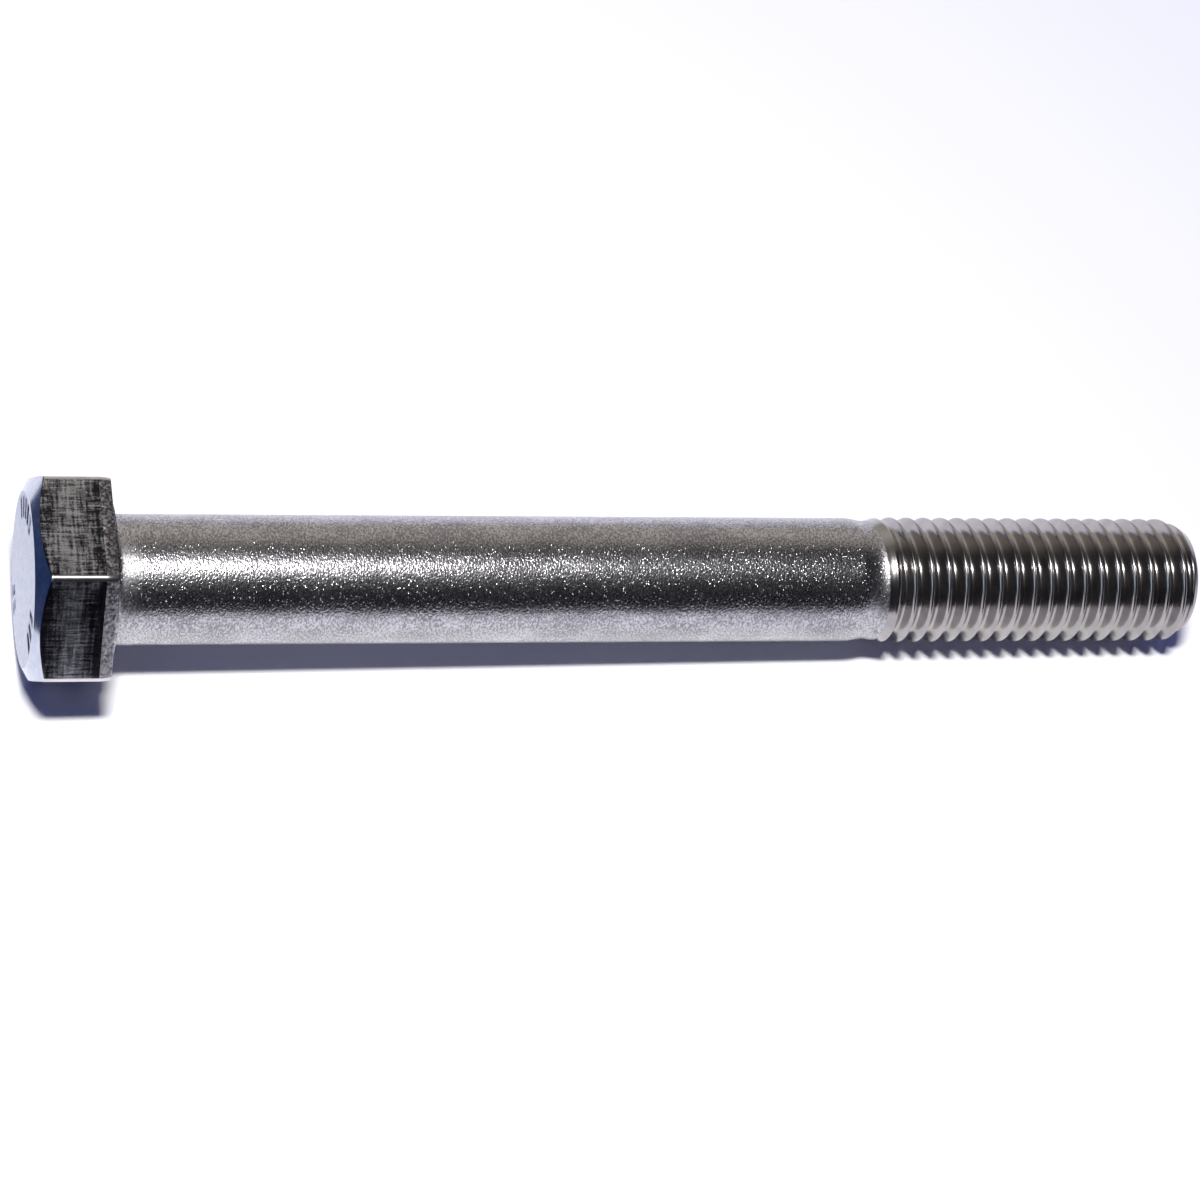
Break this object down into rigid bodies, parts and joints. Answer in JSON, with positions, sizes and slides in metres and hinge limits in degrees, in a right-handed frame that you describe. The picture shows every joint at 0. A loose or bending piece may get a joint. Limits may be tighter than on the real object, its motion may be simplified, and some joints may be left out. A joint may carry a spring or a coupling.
{
  "type": "hexagon head bolt",
  "caption": "Long hexagon head bolt with a chamfered head, a plain shank and a partly threaded, chamfered end.",
  "frame": {"origin": "centre of the head's outer end face, on the bolt's axis", "axes": "+X along the bolt's axis from the head to the tip, +Z square to one flat of the hexagon, which faces up as the bolt lies"},
  "size_m": [0.1124, 0.0206, 0.018],
  "materials": {
    "stainless_steel": "bare stainless steel: tumbled grey shank, drawn and scuffed flats, bright rolled thread"
  },
  "bodies": {
    "root": {"hex_bolt": "stainless_steel"}
  },
  "joints": []
}
